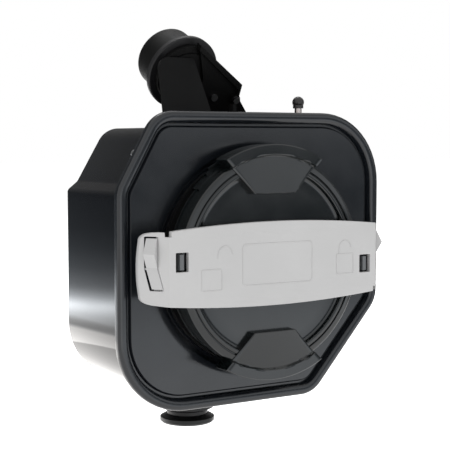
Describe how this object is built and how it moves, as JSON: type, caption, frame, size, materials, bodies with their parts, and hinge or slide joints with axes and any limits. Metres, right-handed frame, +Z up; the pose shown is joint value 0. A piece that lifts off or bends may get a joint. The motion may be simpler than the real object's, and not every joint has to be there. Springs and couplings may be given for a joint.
{
  "type": "generator inlet box",
  "caption": "Wall-mounted moulded inlet box with a round bayonet cover, a level locking bar with thumb latches, a rear-facing conduit neck, an earth stud and a capped drain.",
  "frame": {"origin": "centre of the wall-hole rectangle, on the back face that lies against the wall", "axes": "+Z up, +Y into the wall, so the cover faces -Y; +X to the right as seen from the front"},
  "size_m": [0.25, 0.138, 0.3256],
  "materials": {
    "shell_black": "gloss",
    "panel_grey": "satin",
    "seal_black": "matte",
    "screw_steel": "satin",
    "neck_black": "matte",
    "stud_steel": "polished",
    "cap_black": "satin",
    "drain_black": "satin",
    "deck_steel": "satin",
    "insert_grey": "matte",
    "inlet_black": "satin",
    "inlet_grey": "satin",
    "ring_black": "satin",
    "cover_charcoal": "satin",
    "post_grey": "satin",
    "bar_grey": "satin",
    "rocker_grey": "satin",
    "collar_grey": "satin",
    "pin_brass": "polished",
    "lead_brown": "satin",
    "lead_blue": "satin",
    "lead_green": "satin",
    "lead_black": "satin"
  },
  "bodies": {
    "box": {"rear_shell": "shell_black", "front_panel": "panel_grey", "panel_gasket": "seal_black", "case_screws": "screw_steel", "wall_seals": "seal_black", "neck_body": "neck_black", "neck_hub": "neck_black", "neck_cover": "neck_black", "neck_gasket": "seal_black", "neck_bolts": "neck_black", "neck_brace": "neck_black", "brace_screws": "screw_steel", "hub_sleeve": "neck_black", "earth_stud": "stud_steel", "earth_washers": "stud_steel", "earth_nuts": "stud_steel", "earth_cap": "cap_black", "drain_body": "drain_black", "drain_seal": "seal_black", "drain_locknut": "drain_black", "deck_plate": "deck_steel", "deck_pillars": "insert_grey", "deck_screws": "screw_steel", "inlet_housing": "inlet_black", "inlet_screws": "screw_steel", "inlet_gasket": "seal_black", "inlet_face": "inlet_grey", "din_rail": "deck_steel", "terminal_screws": "screw_steel", "pin_line_one": "pin_brass", "pin_neutral": "pin_brass", "pin_earth": "pin_brass", "pin_line_two": "pin_brass", "terminal_line_one": "insert_grey", "terminal_neutral": "insert_grey", "terminal_earth": "insert_grey", "terminal_line_two": "insert_grey", "lead_line_one": "lead_brown", "lead_neutral": "lead_blue", "lead_earth": "lead_green", "lead_line_two": "lead_black"},
    "cover_carrier": {"slip_ring": "ring_black", "cover_seal": "seal_black"},
    "cover": {"cover_drum": "cover_charcoal", "snap_posts": "post_grey", "top_grip": "cover_charcoal", "bottom_grip": "cover_charcoal", "lock_bar": "bar_grey", "left_pivot_pin": "screw_steel", "right_pivot_pin": "screw_steel", "left_spring": "screw_steel", "right_spring": "screw_steel"},
    "left_latch": {"left_rocker": "rocker_grey"},
    "right_latch": {"right_rocker": "rocker_grey"},
    "drain_turn_cap": {"drain_cap": "drain_black"},
    "conduit_nut": {"coupling_ring": "collar_grey"}
  },
  "joints": [
    {"name": "cover_pull", "type": "slide", "parent": "box", "child": "cover_carrier", "axis": [0, -1, 0], "range_m": [0, 0.12]},
    {"name": "cover_turn", "type": "hinge", "parent": "cover_carrier", "child": "cover", "pos_m": [0, -0.108, -0.0015], "axis": [0, 1, 0], "range_deg": [0, 40]},
    {"name": "left_latch_press", "type": "hinge", "parent": "cover", "child": "left_latch", "pos_m": [-0.10558, -0.12578, -0.0015], "axis": [0.6126, -0.7904, 0], "range_deg": [0, 6], "stiffness_Nm_per_rad": 0.5, "springref_deg": -5.73},
    {"name": "right_latch_press", "type": "hinge", "parent": "cover", "child": "right_latch", "pos_m": [0.10558, -0.12578, -0.0015], "axis": [0.6126, 0.7904, 0], "range_deg": [0, 6], "stiffness_Nm_per_rad": 0.5, "springref_deg": -5.73},
    {"name": "drain_cap_turn", "type": "hinge", "parent": "box", "child": "drain_turn_cap", "pos_m": [-0.036, -0.058, -0.134], "axis": [0, 0, -1], "range_deg": [0, 90]},
    {"name": "conduit_nut_turn", "type": "hinge", "parent": "box", "child": "conduit_nut", "pos_m": [-0.031, -0.04233, 0.15086], "axis": [0, 0.891, 0.454], "continuous": true}
  ]
}
